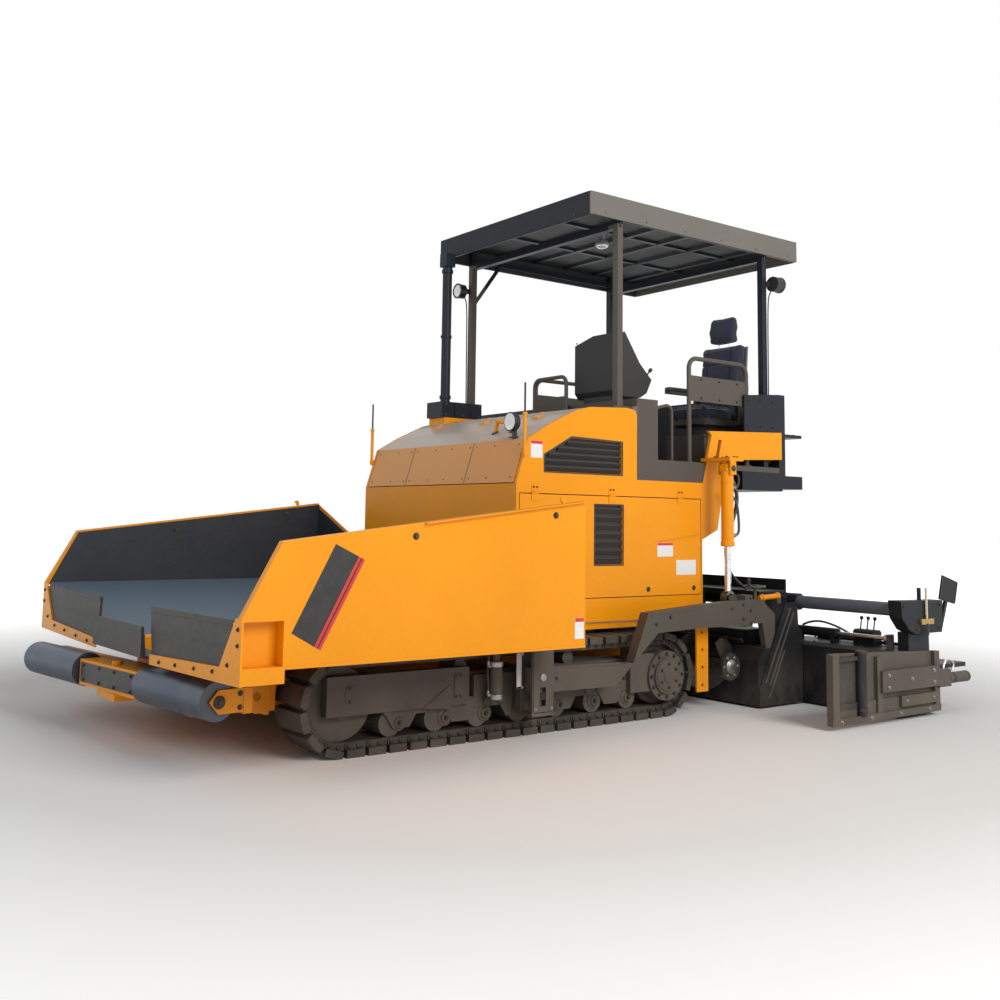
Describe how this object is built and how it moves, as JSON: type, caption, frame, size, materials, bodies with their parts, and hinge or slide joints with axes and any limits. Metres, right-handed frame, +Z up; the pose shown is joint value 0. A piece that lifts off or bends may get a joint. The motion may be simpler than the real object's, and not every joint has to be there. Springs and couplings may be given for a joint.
{
  "type": "tracked asphalt paver",
  "caption": "Tracked asphalt paver with folding hopper wings, push rollers, augers, a canopy over the platform and a towed screed with sliding extensions.",
  "frame": {"origin": "on the ground, at the middle of the length and the width", "axes": "+X forwards to the hopper, +Y left, +Z up"},
  "size_m": [5.8101, 4.21, 3.6],
  "materials": {
    "yellow_paint": "semi-gloss machine yellow",
    "grey_paint": "satin dark grey",
    "dark_paint": "satin blue-black",
    "hopper_steel": "worn blue-black plate",
    "marker_paint": "yellow with black tips",
    "track_steel": "worn dark steel",
    "auger_iron": "rough cast",
    "roller_steel": "worn blue-grey",
    "rod_chrome": "polished",
    "apron_rubber": "matt sheet rubber",
    "seat_fabric": "woven seat cloth",
    "lamp_plastic": "moulded"
  },
  "bodies": {
    "chassis": {"chassis_frame": "yellow_paint", "slat_conveyor": "track_steel", "track_left": "track_steel", "track_right": "track_steel", "track_frame_left": "grey_paint", "track_frame_right": "grey_paint", "engine_block": "auger_iron", "side_panel_left": "yellow_paint", "side_panel_right": "yellow_paint", "side_grille_left": "dark_paint", "side_grille_right": "dark_paint", "hood_front": "yellow_paint", "platform": "grey_paint", "rear_guard": "dark_paint", "seat_pedestal": "grey_paint", "exhaust": "dark_paint", "canopy_roof": "dark_paint", "canopy_frame": "dark_paint", "guard_rails": "grey_paint", "console": "dark_paint", "marker_rods": "marker_paint", "work_lamps": "lamp_plastic", "apron_centre": "apron_rubber", "auger_carrier": "grey_paint", "tow_slides": "grey_paint"},
    "hood_lid": {"hood_lid": "yellow_paint"},
    "door_left": {"side_door_left": "yellow_paint", "door_grille_left": "dark_paint"},
    "door_right": {"side_door_right": "yellow_paint", "door_grille_right": "dark_paint"},
    "seat": {"seat_frame": "grey_paint", "seat_cushion": "seat_fabric", "seat_back": "seat_fabric"},
    "wing_left": {"hopper_wing_left": "yellow_paint", "wing_liner_left": "hopper_steel", "apron_left": "apron_rubber"},
    "wing_right": {"hopper_wing_right": "yellow_paint", "wing_liner_right": "hopper_steel", "apron_right": "apron_rubber"},
    "wing_barrel_left": {"wing_barrel_left": "grey_paint"},
    "wing_barrel_right": {"wing_barrel_right": "grey_paint"},
    "wing_rod_left": {"wing_rod_left": "rod_chrome"},
    "wing_rod_right": {"wing_rod_right": "rod_chrome"},
    "push_beam": {"push_beam": "yellow_paint"},
    "push_roller_left": {"push_roller_left": "roller_steel"},
    "push_roller_right": {"push_roller_right": "roller_steel"},
    "auger_left": {"auger_left": "auger_iron"},
    "auger_right": {"auger_right": "auger_iron"},
    "screed": {"tow_arm_left": "grey_paint", "tow_arm_right": "grey_paint", "screed_main": "grey_paint"},
    "extension_left": {"extension_left": "grey_paint"},
    "extension_right": {"extension_right": "grey_paint"},
    "gate_left": {"end_gate_left": "grey_paint"},
    "gate_right": {"end_gate_right": "grey_paint"},
    "lift_barrel_left": {"lift_barrel_left": "yellow_paint"},
    "lift_barrel_right": {"lift_barrel_right": "yellow_paint"},
    "lift_rod_left": {"lift_rod_left": "rod_chrome"},
    "lift_rod_right": {"lift_rod_right": "rod_chrome"}
  },
  "joints": [
    {"name": "hood_lid_hinge", "type": "hinge", "parent": "chassis", "child": "hood_lid", "pos_m": [0.02, 0, 2.037], "axis": [0, -1, 0], "range_deg": [0, 55]},
    {"name": "seat_swivel", "type": "hinge", "parent": "chassis", "child": "seat", "pos_m": [-1.82, 0.45, 1.75], "axis": [0, 0, 1], "range_deg": [-20, 20]},
    {"name": "push_beam_swivel", "type": "hinge", "parent": "chassis", "child": "push_beam", "pos_m": [2.6766, 0, 0.37], "axis": [0, 0, 1], "range_deg": [-14.5, 1.5]},
    {"name": "screed_lift", "type": "hinge", "parent": "chassis", "child": "screed", "pos_m": [0.536, 0, 0.35], "axis": [0, 1, 0], "range_deg": [0, 8]},
    {"name": "door_left_hinge", "type": "hinge", "parent": "chassis", "child": "door_left", "pos_m": [0, 0.946, 1.487], "axis": [1, 0, 0], "range_deg": [0, 95]},
    {"name": "wing_left_fold", "type": "hinge", "parent": "chassis", "child": "wing_left", "pos_m": [0, 0.45, 0.54], "axis": [1, 0, 0], "range_deg": [0, 45]},
    {"name": "wing_left_barrel_pin", "type": "hinge", "parent": "chassis", "child": "wing_barrel_left", "pos_m": [2.2, 0.51, 0.29], "axis": [1, 0, 0], "range_deg": [0, 34.69]},
    {"name": "wing_left_rod_slide", "type": "slide", "parent": "wing_barrel_left", "child": "wing_rod_left", "axis": [0, 0.8348, 0.5506], "range_m": [0, 0.1596]},
    {"name": "push_roller_left_spin", "type": "hinge", "parent": "push_beam", "child": "push_roller_left", "pos_m": [2.58989, 0.76108, 0.37], "axis": [-0.1132, 0.9936, 0], "continuous": true},
    {"name": "auger_left_spin", "type": "hinge", "parent": "chassis", "child": "auger_left", "pos_m": [-1.3, 0.6, 0.3], "axis": [0, 1, 0], "continuous": true},
    {"name": "extension_left_slide", "type": "slide", "parent": "screed", "child": "extension_left", "axis": [0, 1, 0], "range_m": [-0.77, 0]},
    {"name": "gate_left_slide", "type": "slide", "parent": "extension_left", "child": "gate_left", "axis": [0, 0, 1], "range_m": [0, 0.06]},
    {"name": "lift_left_barrel_pin", "type": "hinge", "parent": "chassis", "child": "lift_barrel_left", "pos_m": [-1.31, 1.13, 1.705], "axis": [0, 1, 0], "range_deg": [-6.74, 0.2]},
    {"name": "lift_left_rod_slide", "type": "slide", "parent": "lift_barrel_left", "child": "lift_rod_left", "axis": [0, 0, 1], "range_m": [0, 0.2513]},
    {"name": "door_right_hinge", "type": "hinge", "parent": "chassis", "child": "door_right", "pos_m": [0, -0.946, 1.487], "axis": [-1, 0, 0], "range_deg": [0, 95]},
    {"name": "wing_right_fold", "type": "hinge", "parent": "chassis", "child": "wing_right", "pos_m": [0, -0.45, 0.54], "axis": [-1, 0, 0], "range_deg": [0, 45]},
    {"name": "wing_right_barrel_pin", "type": "hinge", "parent": "chassis", "child": "wing_barrel_right", "pos_m": [2.2, -0.51, 0.29], "axis": [-1, 0, 0], "range_deg": [0, 34.69]},
    {"name": "wing_right_rod_slide", "type": "slide", "parent": "wing_barrel_right", "child": "wing_rod_right", "axis": [0, -0.8348, 0.5506], "range_m": [0, 0.1596]},
    {"name": "push_roller_right_spin", "type": "hinge", "parent": "push_beam", "child": "push_roller_right", "pos_m": [2.76331, -0.76108, 0.37], "axis": [-0.1132, 0.9936, 0], "continuous": true},
    {"name": "auger_right_spin", "type": "hinge", "parent": "chassis", "child": "auger_right", "pos_m": [-1.3, -0.6, 0.3], "axis": [0, 1, 0], "continuous": true},
    {"name": "extension_right_slide", "type": "slide", "parent": "screed", "child": "extension_right", "axis": [0, -1, 0], "range_m": [-0.77, 0]},
    {"name": "gate_right_slide", "type": "slide", "parent": "extension_right", "child": "gate_right", "axis": [0, 0, 1], "range_m": [0, 0.06]},
    {"name": "lift_right_barrel_pin", "type": "hinge", "parent": "chassis", "child": "lift_barrel_right", "pos_m": [-1.31, -1.13, 1.705], "axis": [0, 1, 0], "range_deg": [-6.74, 0.2]},
    {"name": "lift_right_rod_slide", "type": "slide", "parent": "lift_barrel_right", "child": "lift_rod_right", "axis": [0, 0, 1], "range_m": [0, 0.2513]}
  ],
  "couplings": [
    {"joint": "wing_left_barrel_pin", "follows": "wing_left_fold", "ratio": 0.76417},
    {"joint": "wing_left_rod_slide", "follows": "wing_left_fold", "m_per_rad": 0.20067},
    {"joint": "lift_left_barrel_pin", "follows": "screed_lift", "ratio": -0.81729},
    {"joint": "lift_left_rod_slide", "follows": "screed_lift", "m_per_rad": 1.7786},
    {"joint": "wing_right_barrel_pin", "follows": "wing_right_fold", "ratio": 0.76417},
    {"joint": "wing_right_rod_slide", "follows": "wing_right_fold", "m_per_rad": 0.20067},
    {"joint": "lift_right_barrel_pin", "follows": "screed_lift", "ratio": -0.81729},
    {"joint": "lift_right_rod_slide", "follows": "screed_lift", "m_per_rad": 1.7786}
  ]
}
